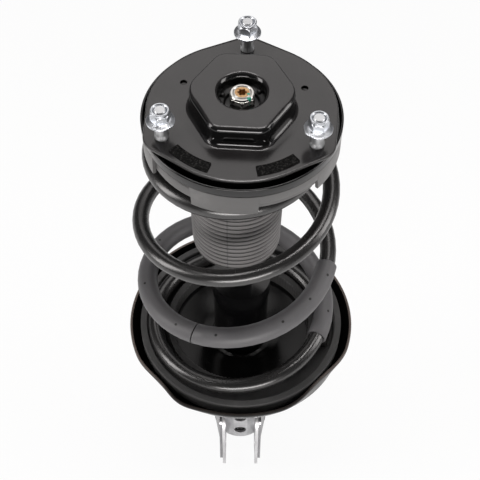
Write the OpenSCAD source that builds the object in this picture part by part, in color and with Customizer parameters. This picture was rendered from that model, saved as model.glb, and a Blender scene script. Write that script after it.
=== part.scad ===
// Front suspension strut assembly: top mount, bearing, coil spring, damper and knuckle clevis.
// Millimetres. The origin is the centre of the mount plate's top face, on the strut axis, +Z up.
// The ears of the clevis point to -Y.

/* [Top mount] */
// Radius of the round part of the mount plate
plate_r = 74.5; // [73.5:0.5:75]
// Thickness of the mount plate
plate_t = 3.2; // [3:0.1:3.4]
// Circle that the tower studs stand on
stud_pcd = 135.2; // [134:0.1:136]
// Radius of the plate around each stud
plate_corner_r = 14.5; // [13:0.5:15]
// Turn of the top mount about the strut axis, in degrees
mount_turn = -3.5; // [-5:0.5:0]
// Height of the dome over the plate
dome_h = 19; // [18:0.5:20]
// Half the distance between the dome's front and rear flats
dome_flat_y = 41; // [40:0.5:41.5]
// Half the distance between the dome's slanted flats
dome_flat_x = 38.5; // [38:0.5:39]
// Radius of the hole in the dome
dome_hole_r = 17.25; // [17:0.05:17.5]

/* [Studs and nuts] */
// Radius of the locating collar at the foot of a tower stud
stud_collar_r = 5.6; // [5.5:0.05:5.9]
// Height of that collar
stud_collar_h = 5; // [4:0.5:6]
// Height of a tower stud over the plate
stud_h = 28.6; // [28:0.1:29]
// Height of the nut flange over the plate
nut_z = 16.2; // [15.8:0.1:16.4]
// Hexagon of the tower nuts, across the flats
nut_af = 14; // [13.8:0.1:14.2]

/* [Coil spring] */
// Diameter of the spring wire
wire_d = 14.5; // [14:0.1:14.6]
// Mean radius of the coils in the middle and at the foot
coil_r = 83; // [82.5:0.1:83.1]
// Mean radius of the drawn-in top coil
coil_top_r = 65; // [64:0.5:65.5]
// Number of turns
coil_turns = 4.3; // [4.1:0.05:4.35]
// Lead of the open turns
coil_lead = 89; // [88:0.5:89]
// Outer diameter of the plastic sleeve on the wire
sleeve_d = 18.5; // [18:0.1:19]

/* [Damper] */
// Outer radius of the strut tube
tube_r = 26; // [25.5:0.1:26]
// Radius of the piston rod
rod_r = 11; // [10.8:0.1:11]
// Height of the tube's top under the plate
tube_top = 224; // [222:1:226]
// Height of the tube's foot under the plate
tube_foot = 486; // [484:1:488]
// Outer radius of the lower spring seat
pan_r = 109.5; // [108:0.5:110]
// Height of the rim of the lower spring seat under the plate
pan_rim = 294; // [293.5:0.1:294.2]

/* [Clevis] */
// Gap between the ears
clevis_gap = 31; // [30:0.5:32]
// Thickness of each bracket plate
bracket_t = 3; // [2.8:0.1:3]
// Distance of the knuckle bolts from the strut axis
bolt_y = 52; // [50:1:54]
// Radius of the knuckle bolt holes
bolt_hole_r = 8.5; // [8:0.1:8.7]
// Depth of the upper knuckle bolt under the plate
bolt_upper = 405; // [403:1:407]
// Depth of the lower knuckle bolt under the plate
bolt_lower = 465; // [464:1:467]

/* [Hidden] */

$fn = 64;
stud_angles = [for (i = [0:2]) 90 + 120 * i + mount_turn];
stud_circle_r = stud_pcd / 2;
thread_r = 4.6;              // tower stud under its nut
stud_head = [7.5, 2];        // radius and thickness of the pressed-in head
locating_hole = [53.9, 62.3, 2.9]; // distance, angle from the rear stud, radius
dome_corner_r = [12, 24];    // the four front and rear corners, the two side corners
dome_wall = 3;

rod_top = 17;                // end of the rod over the plate
rod_neck_r = 7;              // M14 neck through the bush
rod_shoulder = -4;
rod_foot = -282;
rod_tail = -312;
rod_nut_af = 19;

seat_floor = -20.5;          // underside of the upper spring seat
seat_t = 2.5;
seat_wall_r = 75.5;
seat_brim_r = 79;
seat_brim = -14;
seat_rim = -5.5;
insulator_foot = -30.4;      // face that the spring's top end bears on
skirt_foot = -34;
skirt_r = 78.6;
skirt_notches = [[-81, -42], [-151, -119], [40, 100], [138, 168]];
skirt_notch_top = -23;

race_r = [31, 45];
race_top = -6.2;
ball_r = 2.5;
ball_circle_r = 38;
ball_z = -12.2;
ball_count = 24;

coil_start = 90;             // angle of the wire's top end
coil_top_z = insulator_foot - 0.3 - wire_d / 2;
coil_dead_lead = 14;         // lead of the closed top turn
coil_open = [0.55, 1.1];     // turns over which the top turn opens
coil_close = [3.2, 4.05];    // turns over which the foot closes
coil_offset = [-4.5, -1.5];  // sideways offset of the coils at the top and at the foot
wire_sides = 16;
rings_per_turn = 28;
sleeve_span = [2.286, 2.5714, 3.3214];
sleeve_gap = 0.25;           // between the wire and the sleeve

boot_r = [41.8, 38.6];       // at the top and at the foot
boot_offset = -4.3;
boot_top = -26;
boot_foot = -158;
boot_folds = 24;
boot_wall = 2;

tube_wall = 3;
pan_t = 2.6;
pan_floor = -312;            // top face of the spring track
pan_track_r = 64;
pan_foot_r = 101;            // outer radius of the pan's wall at its floor
pan_hub = [28.6, -322, -342];
wire_foot = -308.6;          // floor of the channel in the lower insulator
bracket_top = -372;
bracket_foot = -490;
ear_r = [20, 14];            // lobe radius of the liner and of the wrap
web_hole = [6.5, -449, -475];

// ---- helpers ----------------------------------------------------------------

// A ring about Z from z0 up to z1.
module ring(outer, inner, z0, z1) {
    translate([0, 0, z0]) difference() {
        cylinder(r = outer, h = z1 - z0);
        translate([0, 0, -1]) cylinder(r = inner, h = z1 - z0 + 2);
    }
}

// A profile of [radius, height] points turned about Z.
module turned(points) {
    rotate_extrude() polygon(points);
}

// A cylinder along X through the point [y, z].
module cross_bore(r, y, z, half) {
    translate([-half, y, z]) rotate([0, 90, 0]) cylinder(r = r, h = 2 * half);
}

function eased(t) = let (u = min(max(t, 0), 1)) u * u * (3 - 2 * u);
function dir(a) = [cos(a), sin(a)];
// Outline around a set of circles [centre, radius], as a tight band would lie.
function band(circles, n) = [for (i = [0:n - 1])
    let (d = dir(360 * i / n), reach = [for (c = circles) c[0] * d + c[1]], far = max(reach))
    let (c = circles[search(far, reach)[0]]) c[0] + c[1] * d];
// Point where the lines at distances p and q, with normals at angles a and b, cross.
function crossing(p, a, q, b) = let (s = sin(b - a))
    [(p * sin(b) - q * sin(a)) / s, (q * cos(a) - p * cos(b)) / s];

// ---- top mount --------------------------------------------------------------

module plate_outline() {
    polygon(band(concat([[[0, 0], plate_r]],
        [for (a = stud_angles) [stud_circle_r * dir(a), plate_corner_r]]), 144));
}

function dome_distance(i) = i % 3 == 0 ? dome_flat_y : dome_flat_x;
// Rounded hexagon of the dome, grown by g.
module dome_outline(g) {
    polygon(band([for (i = [0:5]) let (a = 90 + 60 * i, r = dome_corner_r[i % 3 == 1 ? 1 : 0] + g,
        p = dome_distance(i) + g - r, q = dome_distance(i + 1) + g - r) [crossing(p, a, q, a + 60), r]], 96));
}

module dome_slab(z0, z1, g) {
    translate([0, 0, z0]) rotate(mount_turn) linear_extrude(z1 - z0) dome_outline(g);
}

module at_studs() {
    for (a = stud_angles) rotate(a) translate([stud_circle_r, 0, 0]) children();
}

module mount_plate() {
    color([0.16, 0.155, 0.155]) difference() {
        union() {
            translate([0, 0, -plate_t]) linear_extrude(plate_t) plate_outline();
            dome_slab(-1, 2, 2.5);
            dome_slab(-1, dome_h - 2, 0);
            dome_slab(-1, dome_h, -1.5);
        }
        difference() {
            dome_slab(-plate_t - 1, dome_h - dome_wall, -dome_wall);
            turned([[dome_hole_r - 1, dome_h - 7], [dome_hole_r + 2.5, dome_h - 7],
                [dome_hole_r + 10, dome_h - 3],
                [dome_hole_r + 10, dome_h], [dome_hole_r - 1, dome_h]]);
        }
        translate([0, 0, dome_h - 10]) cylinder(r = dome_hole_r, h = 12);
        translate([0, 0, dome_h - 4]) cylinder(r1 = dome_hole_r, r2 = dome_hole_r + 6, h = 4.01);
        at_studs() translate([0, 0, -plate_t - 1]) cylinder(r = stud_collar_r, h = plate_t + 2);
        for (s = [-1, 1]) rotate(90 + mount_turn + s * locating_hole[1])
            translate([locating_hole[0], 0, -plate_t - 1]) cylinder(r = locating_hole[2], h = plate_t + 2);
    }
}

module mount_lower_plate() {
    color([0.14, 0.14, 0.14]) ring(52, 26, race_top, -plate_t);
}

module mount_rubber() {
    color([0.05, 0.05, 0.05]) union() {
        turned([[24.4, -plate_t], [33.5, -plate_t], [33.5, 6], [31, 9], [19, 9], [17, 7.5],
            [14, 7.5], [14, -1.5], [24.4, -1.5]]);
        for (a = [40:60:340]) rotate(a) translate([17, 0, 5]) cylinder(r = 2.2, h = 3.4);
    }
}

module mount_bush() {
    color([0.35, 0.35, 0.36]) turned([[rod_neck_r, rod_shoulder], [24, rod_shoulder], [24, -1.5], [10, -1.5],
        [10, 1.5], [rod_neck_r, 1.5]]);
}

module tower_studs() {
    color([0.62, 0.63, 0.64]) at_studs() union() {
        translate([0, 0, -plate_t - stud_head[1]]) cylinder(r = stud_head[0], h = stud_head[1]);
        translate([0, 0, -plate_t]) cylinder(r = stud_collar_r, h = plate_t + stud_collar_h);
        translate([0, 0, stud_collar_h]) cylinder(r = 5, h = nut_z - stud_collar_h);
        translate([0, 0, nut_z]) cylinder(r = thread_r, h = stud_h - nut_z - 1);
        translate([0, 0, stud_h - 1]) cylinder(r1 = thread_r, r2 = thread_r - 1, h = 1);
    }
}

module tower_nuts() {
    color([0.82, 0.84, 0.86]) at_studs() difference() {
        union() {
            translate([0, 0, nut_z]) cylinder(r = 11, h = 1.6);
            translate([0, 0, nut_z + 1.6]) cylinder(r1 = 10.6, r2 = 8.2, h = 1.6);
            translate([0, 0, nut_z + 1]) cylinder(r = nut_af / 2 / cos(30), h = 8.6, $fn = 6);
            translate([0, 0, nut_z + 9.6]) cylinder(r = 7.4, h = 2.8);
        }
        translate([0, 0, nut_z - 1]) cylinder(r = thread_r, h = 16);
    }
}

// Strip of foam on the plate, from angle a0 to a1 at radius r.
module foam_pad(a0, a1, r, w) {
    color([0.09, 0.09, 0.09]) linear_extrude(1.8)
        polygon(concat([for (i = [0:12]) (r + w) * dir(a0 + (a1 - a0) * i / 12)],
            [for (i = [12:-1:0]) r * dir(a0 + (a1 - a0) * i / 12)]));
}
module left_foam_pad() { foam_pad(-140.5, -111.3, 62, 8.8); }
module right_foam_pad() { foam_pad(-80.5, -52, 61.5, 8.5); }

module rod_washer() {
    color([0.08, 0.08, 0.08]) ring(13, rod_neck_r, 1.5, 4);
}

module rod_nut() {
    color([0.75, 0.75, 0.74]) difference() {
        union() {
            translate([0, 0, 4]) rotate(30) cylinder(r = rod_nut_af / 2 / cos(30), h = 11, $fn = 6);
            translate([0, 0, 13]) cylinder(r = 9.25, h = 3.6);
        }
        translate([0, 0, 3]) cylinder(r = rod_neck_r, h = 15);
    }
}

module piston_rod() {
    color([0.72, 0.72, 0.73]) difference() {
        turned([[0, rod_tail], [rod_neck_r, rod_tail], [rod_neck_r, rod_foot], [rod_r, rod_foot],
            [rod_r, rod_shoulder], [rod_neck_r, rod_shoulder], [rod_neck_r, rod_top - 1],
            [rod_neck_r - 1, rod_top], [0, rod_top]]);
        translate([0, 0, rod_top - 6]) cylinder(r = 2.9, h = 7);
        for (a = [0:60:300]) rotate(a) translate([2.9, 0, rod_top - 6]) cylinder(r = 0.95, h = 7, $fn = 24);
    }
}

module rebound_stop() {
    color([0.1, 0.1, 0.1]) ring(15.5, rod_r, -261, -249.4);
}

module piston() {
    color([0.5, 0.5, 0.5]) turned([[rod_neck_r, -300], [16.6, -300], [16.6, -296], [15.4, -296], [15.4, -288],
        [16.6, -288], [16.6, rod_foot], [rod_neck_r, rod_foot]]);
}
module piston_band() {
    color([0.25, 0.2, 0.15]) ring(16.95, 15.4, -296, -288);
}
module piston_nut() {
    color([0.5, 0.5, 0.5]) difference() {
        translate([0, 0, -310]) cylinder(r = 12.7, h = 10, $fn = 6);
        translate([0, 0, -311]) cylinder(r = rod_neck_r, h = 12);
    }
}

// ---- strut bearing ----------------------------------------------------------

module ball_track() {
    rotate_extrude() translate([ball_circle_r, ball_z]) circle(r = ball_r + 0.15);
}
module at_balls() {
    for (i = [0:ball_count - 1]) rotate(360 * i / ball_count) translate([ball_circle_r, 0, ball_z]) children();
}

module bearing_upper_race() {
    color([0.6, 0.6, 0.62]) difference() {
        ring(race_r[1], race_r[0], -10.6, race_top);
        ball_track();
    }
}
module bearing_lower_race() {
    color([0.6, 0.6, 0.62]) difference() {
        ring(race_r[1], race_r[0], seat_floor + seat_t, -13.8);
        ball_track();
    }
}
module bearing_balls() {
    color([0.85, 0.85, 0.86]) at_balls() sphere(r = ball_r, $fn = 24);
}
module bearing_cage() {
    color([0.75, 0.7, 0.5]) difference() {
        ring(41.2, 34.8, -13.2, -11.2);
        at_balls() sphere(r = ball_r + 0.1, $fn = 24);
    }
}
module bearing_seal() {
    color([0.1, 0.1, 0.1]) turned([[45, -18], [48.5, -18], [48.5, -6.6], [45.6, -6.6], [45.6, -9],
        [46.5, -12], [45, -14]]);
}

// ---- spring seat, insulator, bump stop and boot -----------------------------

module upper_spring_seat() {
    color([0.05, 0.05, 0.05]) turned([[14, seat_floor], [seat_wall_r, seat_floor], [seat_wall_r, seat_brim],
        [seat_brim_r, seat_brim], [seat_brim_r, seat_rim], [seat_brim_r - 2.2, seat_rim],
        [seat_brim_r - 2.2, seat_brim + seat_t], [seat_wall_r - seat_t, seat_brim + seat_t],
        [seat_wall_r - seat_t, seat_floor + seat_t], [14, seat_floor + seat_t]]);
}

// Wedge of ring material between the angles a0 and a1, for notches in the skirt.
module notch(a0, a1) {
    translate([0, 0, skirt_foot - 1]) linear_extrude(skirt_notch_top - skirt_foot + 1)
        polygon(concat([[0, 0]], [for (i = [0:6]) 100 * dir(a0 + (a1 - a0) * i / 6)]));
}
module upper_insulator() {
    color([0.25, 0.25, 0.26]) union() {
        ring(seat_wall_r, 56, insulator_foot, seat_floor);
        difference() {
            ring(skirt_r, seat_wall_r, skirt_foot, seat_brim);
            for (n = skirt_notches) notch(n[0], n[1]);
        }
    }
}

module bump_stop() {
    color([0.75, 0.7, 0.45]) turned(concat([[rod_r + 0.6, seat_floor]],
        [for (i = [0:24]) let (t = i / 24) [22 - 3 * t - 1.6 * (1 - cos(1080 * t)) / 2, seat_floor - 54 * t]],
        [[rod_r + 0.6, seat_floor - 54]]));
}

module boot_collar() {
    color([0.12, 0.12, 0.12]) translate([boot_offset, 0, 0]) ring(43, 33, boot_top, seat_floor);
}

function boot_fold_r(i) = boot_r[0] + (boot_r[1] - boot_r[0]) * i / (2 * boot_folds) - (i % 2 == 0 ? 2.2 : 0);
module dust_boot() {
    rows = 2 * boot_folds;
    step = (boot_top - boot_foot) / rows;
    foot_r = boot_r[1];
    color([0.22, 0.22, 0.22]) translate([boot_offset, 0, 0]) turned(concat(
        [for (i = [0:rows]) [boot_fold_r(i), boot_top - step * i]],
        [[foot_r + 1.2, boot_foot - 2], [foot_r + 1.2, boot_foot - 7], [foot_r - 1.4, boot_foot - 7],
            [foot_r - 1.4 - boot_wall, boot_foot - 1]],
        [for (i = [rows:-1:0]) [boot_fold_r(i) - boot_wall, boot_top - step * i]]));
}

// ---- coil spring and its sleeve ---------------------------------------------

// Area under a ramp from 0 to 1 that runs between a and b, up to n.
function ramp_area(n, a, b) = n < a ? 0 : n > b ? n - (a + b) / 2 : pow(n - a, 2) / (b - a) / 2;
function coil_z(n) = coil_top_z - coil_dead_lead * n
    - (coil_lead - coil_dead_lead) * ramp_area(n, coil_open[0], coil_open[1])
    + coil_lead * ramp_area(n, coil_close[0], coil_close[1]);
function coil_radius(n) = coil_top_r + (coil_r - coil_top_r) * eased((n - 0.35) / 1.25);
function coil_x(n) = coil_offset[0] + (coil_offset[1] - coil_offset[0]) * eased((n - 2.6) / 1.2);
function coil_angle(n) = coil_start - 360 * n;
function coil_point(n) = [coil_x(n) + coil_radius(n) * cos(coil_angle(n)), coil_radius(n) * sin(coil_angle(n)),
    coil_z(n)];
// Ring of points of radius r around the wire at n turns.
function wire_ring(n, r) = [for (k = [0:wire_sides - 1])
    let (a = coil_angle(n), b = 360 * k / wire_sides)
    coil_point(n) + r * [cos(a) * cos(b), sin(a) * cos(b), sin(b)]];

// Solid tube along the coil from n0 to n1 turns. With an inner radius it is a pipe.
module coiled(n0, n1, r, inner = 0) {
    s = wire_sides;
    turns = concat([n0], [for (i = [floor(n0 * rings_per_turn + 0.1) + 1:ceil(n1 * rings_per_turn - 0.1) - 1])
        i / rings_per_turn], [n1]);
    steps = len(turns) - 1;
    outer = [for (n = turns) each wire_ring(n, r)];
    bore = inner > 0 ? [for (n = turns) each wire_ring(n, inner)] : [];
    m = len(outer);
    skin = [for (i = [0:steps - 1], k = [0:s - 1]) let (a = i * s + k, b = i * s + (k + 1) % s)
        [a, b, b + s, a + s]];
    ends = inner > 0
        ? [for (k = [0:s - 1], e = [0, steps]) let (a = e * s + k, b = e * s + (k + 1) % s)
            e == 0 ? [a, a + m, b + m, b] : [a, b, b + m, a + m]]
        : [[for (k = [s - 1:-1:0]) k], [for (k = [0:s - 1]) steps * s + k]];
    lining = inner > 0 ? [for (f = skin) [for (j = [3:-1:0]) f[j] + m]] : [];
    polyhedron(concat(outer, bore), [for (f = concat(skin, ends, lining)) [for (j = [len(f) - 1:-1:0]) f[j]]],
        convexity = 10);
}

module coil_spring() {
    color([0.12, 0.12, 0.12]) coiled(0, coil_turns, wire_d / 2);
}
module spring_sleeve_upper() {
    color([0.24, 0.24, 0.25])
        coiled(sleeve_span[0], sleeve_span[1] - 0.001, sleeve_d / 2, wire_d / 2 + sleeve_gap);
}
module spring_sleeve_lower() {
    color([0.24, 0.24, 0.25])
        coiled(sleeve_span[1] + 0.001, sleeve_span[2], sleeve_d / 2, wire_d / 2 + sleeve_gap);
}

// ---- damper -----------------------------------------------------------------

module strut_tube() {
    color([0.1, 0.1, 0.1]) turned([[tube_r - tube_wall, -tube_foot], [tube_r, -tube_foot], [tube_r, -tube_top],
        [19, -tube_top], [19, -tube_top - 2.5], [tube_r - tube_wall, -tube_top - 2.5]]);
}
module base_cup() {
    color([0.1, 0.1, 0.1]) turned([[0, -tube_foot - 2], [tube_r - 1, -tube_foot - 2], [tube_r, -tube_foot],
        [tube_r - tube_wall, -tube_foot], [tube_r - tube_wall, -tube_foot + 5], [0, -tube_foot + 5]]);
}
module tube_cap() {
    color([0.12, 0.12, 0.12]) turned([[12.5, -tube_top], [tube_r, -tube_top], [tube_r, -tube_top - 16],
        [tube_r + 1.5, -tube_top - 16], [tube_r + 1.5, -tube_top + 2], [12.5, -tube_top + 2]]);
}
module oil_seal() {
    color([0.1, 0.1, 0.1]) ring(tube_r - tube_wall, rod_r + 0.06, -tube_top - 7, -tube_top - 2.5);
}
module rod_guide() {
    color([0.5, 0.5, 0.5]) turned([[rod_r + 0.8, -249], [18.5, -249], [18.5, -243], [tube_r - tube_wall, -243],
        [tube_r - tube_wall, -tube_top - 7], [rod_r + 0.8, -tube_top - 7]]);
}
module guide_bush() {
    color([0.45, 0.35, 0.2]) ring(rod_r + 0.8, rod_r + 0.05, -247, -tube_top - 9);
}
module pressure_tube() {
    color([0.6, 0.6, 0.6]) ring(18.5, 17, -472, -249);
}
module base_valve() {
    color([0.5, 0.5, 0.5]) turned([[0, -478], [14, -478], [16, -tube_foot + 5], [20, -tube_foot + 5], [20, -474],
        [18.5, -472], [17, -472], [17, -468], [0, -468]]);
}

// ---- lower spring seat ------------------------------------------------------

// Rim radius at angle a: round, drawn in beside a wide lobe at the front.
function bump(a, centre, half) = let (d = abs((a - centre + 540) % 360 - 180))
    d > half ? 0 : (1 + cos(180 * d / half)) / 2;
function pan_rim_r(a) = pan_r - 6.5 * bump(a, -43, 26) - 3.5 * bump(a, 223, 20) + 2 * bump(a, 238, 16)
    - 1.2 * bump(a, 270, 40);
// Solid form of the seat's flared wall, drawn in by inset and cut to the shaped rim.
module pan_form(inset, foot, top) {
    slope = (pan_r + 2 - pan_foot_r) / (pan_t - pan_floor - pan_rim);
    base = pan_foot_r - inset + slope * (foot - pan_floor + pan_t);
    intersection() {
        translate([0, 0, foot]) cylinder(r1 = base, r2 = base + slope * (top - foot), h = top - foot);
        translate([0, 0, foot - 1]) linear_extrude(top - foot + 2)
            polygon([for (a = [0:3:357]) (pan_rim_r(a) - inset) * dir(a)]);
    }
}
module lower_spring_seat() {
    color([0.05, 0.05, 0.05]) union() {
        difference() {
            pan_form(0, pan_floor - pan_t, -pan_rim);
            pan_form(pan_t, pan_floor - pan_t - 1, 1 - pan_rim);
        }
        turned([[tube_r, pan_hub[2]], [pan_hub[0], pan_hub[2]], [pan_hub[0], pan_hub[1] - pan_t],
            [pan_track_r, pan_floor - pan_t], [pan_foot_r - 0.8, pan_floor - pan_t],
            [pan_foot_r - 0.8, pan_floor],
            [pan_track_r, pan_floor], [pan_hub[0], pan_hub[1]], [tube_r, pan_hub[1]]]);
    }
}
module lower_insulator() {
    color([0.2, 0.2, 0.2]) turned([[66, pan_floor], [97.5, pan_floor], [99, -305], [99, -293], [92.4, -293],
        [92.4, wire_foot],
        [73.6, wire_foot], [73.6, -298], [66, -298]]);
}

// ---- clevis and side brackets -----------------------------------------------

// Both ears in plan, with inner faces at x0, from y0 back to y1.
module ears(x0, y0, y1) {
    for (side = [-1, 1]) translate([side * (x0 + bracket_t / 2) - bracket_t / 2, y0, bracket_foot])
        cube([bracket_t, y1 - y0, bracket_top - bracket_foot]);
}
// Side shape of the ears: the tube's height at the back, two lobes of radius r round the bolts in front.
module ear_side(r) {
    union() {
        for (z = [bolt_upper, bolt_lower]) cross_bore(r, -bolt_y, -z, 60);
        translate([-60, 0, 0]) rotate([90, 0, 90]) linear_extrude(120)
            polygon([[-bolt_y - r, -bolt_lower], [-bolt_y, -bolt_lower], [-bolt_y + 2, -bolt_lower - r],
                [-bolt_y + 14, bracket_foot], [40, bracket_foot], [40, bracket_top],
                [-bolt_y + 8, bracket_top - 13],
                [-bolt_y + 1, -bolt_upper + r - 0.1], [-bolt_y, -bolt_upper], [-bolt_y - r, -bolt_upper]]);
    }
}
module bolt_holes() {
    for (z = [bolt_upper, bolt_lower]) cross_bore(bolt_hole_r, -bolt_y, -z, 60);
}
module tube_bore() {
    translate([0, 0, bracket_foot - 5]) cylinder(r = tube_r, h = 140);
}
module bracket_block(x0, y0, x1, y1) {
    translate([x0, y0, bracket_foot - 1]) cube([x1 - x0, y1 - y0, bracket_top - bracket_foot + 2]);
}

module clevis_liner() {
    x0 = clevis_gap / 2;
    color([0.12, 0.12, 0.12]) difference() {
        intersection() {
            union() {
                ears(x0, -90, -20);
                intersection() {
                    ring(tube_r + bracket_t, tube_r - 1, bracket_foot, bracket_top);
                    bracket_block(-x0 - 1, -40, x0 + 1, -15);
                }
            }
            ear_side(ear_r[0]);
        }
        tube_bore();
        bolt_holes();
        for (z = [web_hole[1], web_hole[2]])
            translate([0, -10, z]) rotate([90, 0, 0]) cylinder(r = web_hole[0], h = 40);
    }
}

module clevis_wrap() {
    x0 = clevis_gap / 2 + bracket_t;
    out = tube_r + bracket_t;
    color([0.12, 0.12, 0.12]) difference() {
        intersection() {
            union() {
                difference() {
                    translate([0, 0, bracket_foot]) cylinder(r = out, h = bracket_top - bracket_foot);
                    bracket_block(-40, -40, 40, -9);
                }
                for (side = [-1, 1]) translate([0, 0, bracket_foot]) linear_extrude(bracket_top - bracket_foot)
                    polygon([[side * (tube_r - 1.5), -5], [side * (out - 1), -6],
                        [side * (x0 + bracket_t), -37], [side * x0, -37]]);
                ears(x0, -90, -35.5);
            }
            ear_side(ear_r[1]);
        }
        tube_bore();
        bolt_holes();
    }
}

// Tab on the tube's side with a hole along Y, from the tube out to the hole's eye.
module side_tab(side, eye_x, z, eye_r, hole_r, y, t) {
    difference() {
        translate([0, y + t, z]) rotate([90, 0, 0]) union() {
            translate([side * eye_x, 0, 0]) cylinder(r = eye_r, h = t);
            linear_extrude(t) polygon([[side * 18, -eye_r - 3], [side * eye_x, 1 - eye_r],
                [side * eye_x, eye_r - 1], [side * 18, eye_r + 3]]);
        }
        translate([side * eye_x, y + t + 1, z]) rotate([90, 0, 0]) cylinder(r = hole_r, h = t + 2);
        translate([0, 0, z - 60]) cylinder(r = tube_r, h = 120);
    }
}
module stabiliser_bracket() {
    color([0.12, 0.12, 0.12]) side_tab(-1, 46, -358, 12, 6.1, 4, 4);
}
module hose_bracket() {
    color([0.12, 0.12, 0.12]) side_tab(1, 42, -356, 9, 5.2, 6, 2.5);
}

// ---- output -----------------------------------------------------------------

mount_plate();
mount_lower_plate();
mount_rubber();
mount_bush();
tower_studs();
tower_nuts();
left_foam_pad();
right_foam_pad();
rod_washer();
rod_nut();
piston_rod();
rebound_stop();
piston();
piston_band();
piston_nut();
bearing_upper_race();
bearing_balls();
bearing_cage();
bearing_lower_race();
bearing_seal();
upper_spring_seat();
upper_insulator();
bump_stop();
boot_collar();
dust_boot();
coil_spring();
spring_sleeve_upper();
spring_sleeve_lower();
strut_tube();
base_cup();
tube_cap();
rod_guide();
guide_bush();
oil_seal();
pressure_tube();
base_valve();
lower_spring_seat();
lower_insulator();
clevis_wrap();
clevis_liner();
stabiliser_bracket();
hose_bracket();
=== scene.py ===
import math

import bmesh
import bpy
import numpy as np
from mathutils import Matrix, Vector
from mathutils.kdtree import KDTree


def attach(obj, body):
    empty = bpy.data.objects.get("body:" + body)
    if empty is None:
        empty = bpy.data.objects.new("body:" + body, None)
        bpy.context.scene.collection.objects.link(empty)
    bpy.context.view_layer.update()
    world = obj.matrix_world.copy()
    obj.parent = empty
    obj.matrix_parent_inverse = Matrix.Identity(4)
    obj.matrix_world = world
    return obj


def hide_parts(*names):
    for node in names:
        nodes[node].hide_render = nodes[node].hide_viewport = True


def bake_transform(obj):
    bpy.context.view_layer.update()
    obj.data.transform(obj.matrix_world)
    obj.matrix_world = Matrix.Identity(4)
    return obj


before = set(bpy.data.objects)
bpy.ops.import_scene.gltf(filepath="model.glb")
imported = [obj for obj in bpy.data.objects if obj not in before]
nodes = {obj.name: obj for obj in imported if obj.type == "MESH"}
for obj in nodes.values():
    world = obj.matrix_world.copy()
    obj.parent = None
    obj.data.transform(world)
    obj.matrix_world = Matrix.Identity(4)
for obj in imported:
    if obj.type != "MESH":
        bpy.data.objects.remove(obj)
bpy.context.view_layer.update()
mm = 0.001
print("frame loaded:", len(nodes), "CAD nodes")

# camera, floor and light

view = {
    "place": (-0.00113, -0.5797, 0.5865),  # metres from the centre of the mount plate
    "pitchDown": 52.43,
    "roll": 0.255,
    "lens": 79.54,
    "floorHeight": -0.4905,
    "floorSize": 9,
    "floorGlow": 0.4,  # share of the floor that glows for every ray
    "floorGlowSeen": 0.53,  # and how much more of it glows for the camera
    "roomLight": 0.05,
    "lampTint": (1, 0.968, 0.955),
}
# name, place, target and size in metres, power in watts
lamps = (
    ("backBox", (0, 1.05, 1.18), (0, 0, -0.05), (1.6, 1.1), 7.4),
    ("overheadBox", (0, 0.3, 1.5), (0, 0.1, 0), (1.6, 0.5), 6),
    ("topStrip", (0, -0.02, 1.45), (0, -0.02, 0), (1.5, 0.14), 9),
    ("leftBox", (-1.3, -0.2, 0.4), (0, 0, -0.15), (0.5, 1.1), 10),
    ("rightBox", (1.3, -0.1, 0.4), (0, 0, -0.15), (0.5, 1.1), 8),
    ("frontLow", (0, -1.45, 0.05), (0, 0, -0.15), (1.3, 0.4), 17),
)


def deselectAll():
    if bpy.context.object and bpy.context.object.mode != "OBJECT":
        bpy.ops.object.mode_set(mode="OBJECT")
    bpy.ops.object.select_all(action="DESELECT")


def addCamera():
    data = bpy.data.cameras.new("camera")
    data.lens = view["lens"]
    data.sensor_width = 36
    data.clip_start = 0.01
    camera = bpy.data.objects.new("camera", data)
    bpy.context.scene.collection.objects.link(camera)
    tilt = Matrix.Rotation(math.radians(90 - view["pitchDown"]), 4, "X")
    roll = Matrix.Rotation(math.radians(view["roll"]), 4, "Z")
    camera.matrix_world = Matrix.Translation(view["place"]) @ tilt @ roll
    bpy.context.scene.camera = camera


def addSoftbox(name, place, target, size, power):
    data = bpy.data.lights.new(name, "AREA")
    data.shape = "RECTANGLE"
    data.size, data.size_y = size
    data.energy = power
    data.color = view["lampTint"]
    light = bpy.data.objects.new(name, data)
    light.location = place
    light.rotation_euler = (Vector(target) - Vector(place)).to_track_quat("-Z", "Y").to_euler()
    bpy.context.scene.collection.objects.link(light)


class Wire:
    # a shader socket that takes part in sums, so that masks read as formulas
    def __init__(self, finish, socket):
        self.finish, self.socket = finish, socket

    def sum(self, operation, other, swap=False):
        first, second = (other, self) if swap else (self, other)
        return self.finish.node("ShaderNodeMath", {"operation": operation}, {0: first, 1: second})

    def __add__(self, other):
        return self.sum("ADD", other)

    def __radd__(self, other):
        return self.sum("ADD", other, True)

    def __sub__(self, other):
        return self.sum("SUBTRACT", other)

    def __rsub__(self, other):
        return self.sum("SUBTRACT", other, True)

    def __mul__(self, other):
        return self.sum("MULTIPLY", other)

    def __rmul__(self, other):
        return self.sum("MULTIPLY", other, True)

    def __truediv__(self, other):
        return self.sum("DIVIDE", other)

    def __pow__(self, other):
        return self.sum("POWER", other)

    def atMost(self, other):
        return self.sum("MINIMUM", other)

    def atLeast(self, other):
        return self.sum("MAXIMUM", other)


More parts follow.
